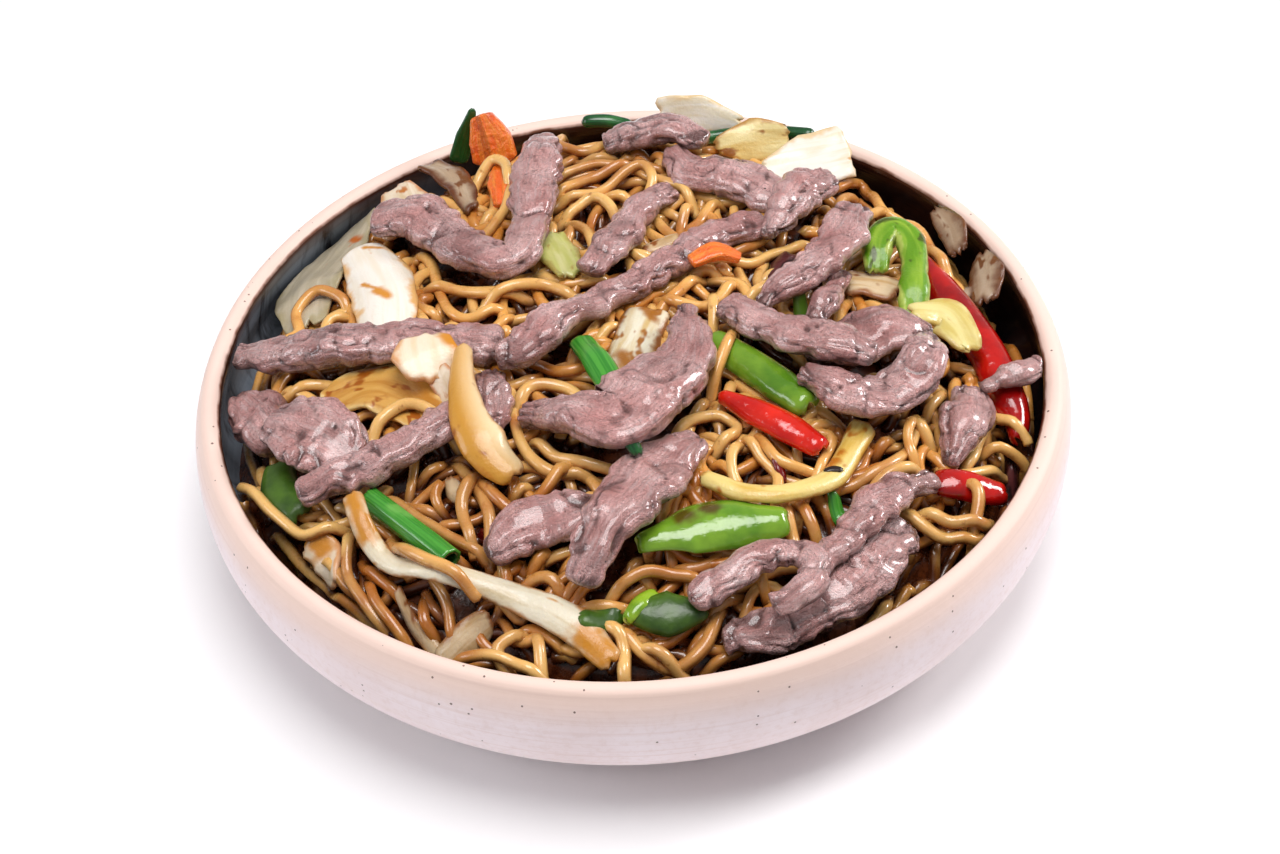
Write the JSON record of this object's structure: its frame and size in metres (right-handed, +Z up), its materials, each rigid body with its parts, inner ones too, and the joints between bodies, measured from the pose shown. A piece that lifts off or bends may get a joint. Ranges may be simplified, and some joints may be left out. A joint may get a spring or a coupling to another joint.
{
  "type": "bowl of stir-fried noodles with beef and vegetables",
  "caption": "Wide shallow clay bowl, glazed black inside, heaped with fried noodles, beef strips, cabbage, peppers, carrot and spring onion.",
  "frame": {"origin": "middle of the bowl's foot, on the surface it stands on", "axes": "+Z up, +X to the right and +Y to the back as the picture shows the bowl"},
  "size_m": [0.2408, 0.2408, 0.0702],
  "materials": {
    "bowl": "pale clay outside under a thin clear glaze, glossy black glaze inside",
    "noodles": "glossy boiled noodle in brown sauce",
    "beef": "glossy, fibrous",
    "cabbage": "glossy, pale, stained with sauce",
    "onion": "glossy, brown with sauce",
    "green_pepper": "glossy",
    "red_pepper": "glossy",
    "carrot": "satin",
    "spring_onion": "glossy"
  },
  "bodies": {
    "root": {"bowl": "bowl", "noodle_heap": "noodles", "beef_01": "beef", "beef_02": "beef", "beef_03": "beef", "beef_04": "beef", "beef_05": "beef", "beef_06": "beef", "beef_07": "beef", "beef_08": "beef", "beef_09": "beef", "beef_10": "beef", "beef_11": "beef", "beef_12": "beef", "beef_13": "beef", "beef_14": "beef", "beef_15": "beef", "beef_16": "beef", "beef_17": "beef", "beef_18": "beef", "beef_19": "beef", "beef_20": "beef", "beef_21": "beef", "beef_22": "beef", "beef_23": "beef", "beef_24": "beef", "cabbage_01": "cabbage", "cabbage_02": "cabbage", "cabbage_03": "cabbage", "cabbage_04": "cabbage", "cabbage_05": "cabbage", "cabbage_06": "cabbage", "cabbage_07": "cabbage", "cabbage_08": "cabbage", "cabbage_09": "cabbage", "cabbage_10": "cabbage", "cabbage_11": "cabbage", "cabbage_12": "cabbage", "cabbage_13": "cabbage", "cabbage_14": "cabbage", "onion_01": "onion", "onion_02": "onion", "onion_03": "onion", "onion_04": "onion", "green_pepper_01": "green_pepper", "green_pepper_02": "green_pepper", "green_pepper_03": "green_pepper", "green_pepper_04": "green_pepper", "green_pepper_05": "green_pepper", "red_pepper_01": "red_pepper", "red_pepper_02": "red_pepper", "red_pepper_03": "red_pepper", "carrot_01": "carrot", "carrot_02": "carrot", "carrot_03": "carrot", "spring_onion_01": "spring_onion", "spring_onion_02": "spring_onion", "spring_onion_03": "spring_onion", "spring_onion_04": "spring_onion", "spring_onion_05": "spring_onion"}
  },
  "joints": []
}
